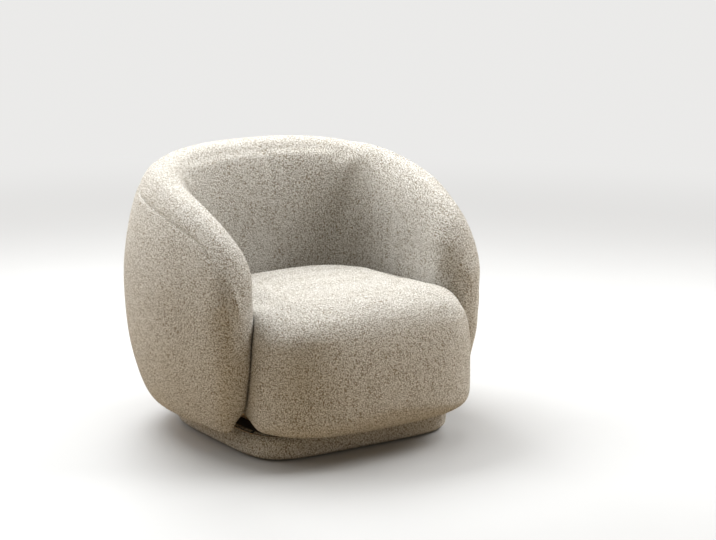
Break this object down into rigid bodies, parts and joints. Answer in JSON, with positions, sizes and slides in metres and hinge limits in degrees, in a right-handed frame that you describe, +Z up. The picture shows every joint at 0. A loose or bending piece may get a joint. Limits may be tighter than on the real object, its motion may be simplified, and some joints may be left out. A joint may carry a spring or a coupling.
{
  "type": "tub chair",
  "caption": "Upholstered tub chair: a rounded wrap-around shell of back and arms, a deep tight seat block ahead of it and a low inset plinth.",
  "frame": {"origin": "centre of the chair's plan box, on the floor under the glides", "axes": "+Z up, -Y toward the front of the seat, +X toward the sitter's left"},
  "size_m": [0.88, 0.845, 0.7],
  "materials": {
    "boucle": "looped wool boucle",
    "foam": "open cell foam",
    "lining": "non-woven cloth",
    "webbing": "elastic webbing",
    "felt": "needled felt",
    "steel": "zinc plated",
    "glide": "smooth",
    "board": "plywood",
    "wood": "planed softwood"
  },
  "bodies": {
    "root": {"glides": "glide", "glide_screws": "steel", "dust_cloth": "lining", "plinth_rail_front": "wood", "plinth_rail_back": "wood", "plinth_rail_left": "wood", "plinth_rail_right": "wood", "plinth_corner_front_left": "wood", "plinth_corner_front_right": "wood", "plinth_corner_back_left": "wood", "plinth_corner_back_right": "wood", "plinth_board": "board", "plinth_padding": "foam", "plinth_cover": "boucle", "seat_platform": "board", "platform_screws": "steel", "frame_rail_front": "wood", "frame_rail_back": "wood", "frame_rail_left": "wood", "frame_rail_right": "wood", "spacer_front_left": "wood", "spacer_front_right": "wood", "spacer_rear_left": "wood", "spacer_rear_right": "wood", "frame_bolts": "steel", "bolt_washers": "steel", "threaded_inserts": "steel", "webbing_cross": "webbing", "webbing_long": "webbing", "webbing_felt": "felt", "seat_edge_foam": "foam", "seat_foam_core": "foam", "seat_foam_topper": "foam", "seat_cover_band": "boucle", "seat_cover_top": "boucle", "bottom_rail": "wood", "rib_back": "wood", "rib_rear_left": "wood", "rib_rear_right": "wood", "rib_side_left": "wood", "rib_side_right": "wood", "rib_front_left": "wood", "rib_front_right": "wood", "arm_rail_left": "wood", "arm_rail_right": "wood", "inner_liner": "board", "outer_liner": "board", "shell_foam_left": "foam", "shell_foam_back": "foam", "shell_foam_right": "foam", "shell_cover_outer": "boucle", "shell_cover_left": "boucle", "shell_cover_middle": "boucle", "shell_cover_right": "boucle"}
  },
  "joints": []
}
